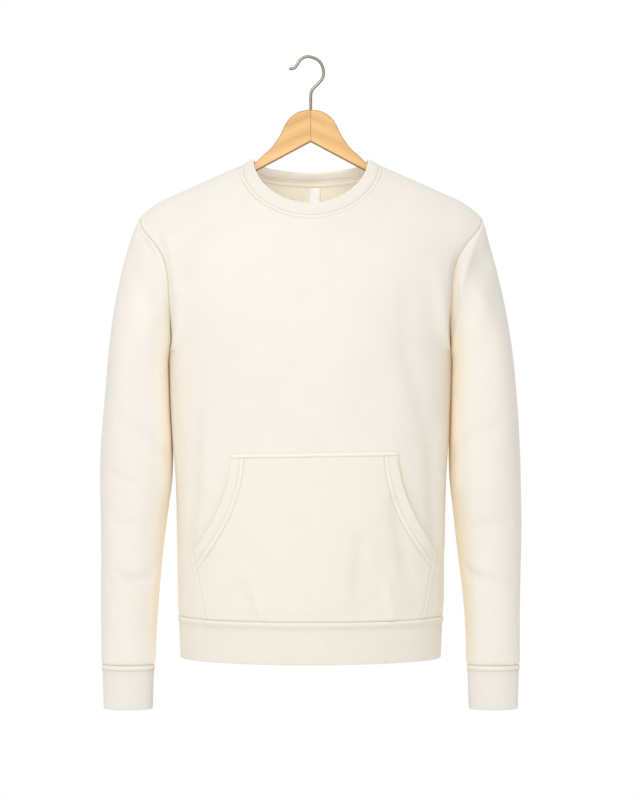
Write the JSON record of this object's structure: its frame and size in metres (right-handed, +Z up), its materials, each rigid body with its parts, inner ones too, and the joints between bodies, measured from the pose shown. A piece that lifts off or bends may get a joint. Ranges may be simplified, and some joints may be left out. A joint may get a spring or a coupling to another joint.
{
  "type": "crewneck sweatshirt on a wooden hanger",
  "caption": "Long-sleeved crewneck fleece sweatshirt with kangaroo pocket and rib bands, filled out on a wooden hanger with a wire hook.",
  "frame": {"origin": "inside top of the hanger's hook, where a rail bears, above the hook's stem", "axes": "+Z up, the front of the sweatshirt faces -Y, the wearer's left is +X"},
  "size_m": [0.596, 0.2353, 0.9258],
  "materials": {
    "fleece": "brushed cream cotton fleece",
    "rib_knit": "cream rib knit, folded",
    "twill_tape": "cream cotton tape",
    "satin_label": "blank white satin",
    "beech": "clear-varnished honey wood",
    "plated_steel": "nickel-plated steel wire"
  },
  "bodies": {
    "root": {"front": "fleece", "back": "fleece", "sleeve_left": "fleece", "sleeve_right": "fleece", "pocket": "fleece", "cuff_left": "rib_knit", "cuff_right": "rib_knit", "hem_band": "rib_knit", "neck_rib": "rib_knit", "neck_tape": "twill_tape", "neck_label": "satin_label", "hanger_arm_left": "beech", "hanger_arm_right": "beech", "hanger_hook": "plated_steel"}
  },
  "joints": []
}
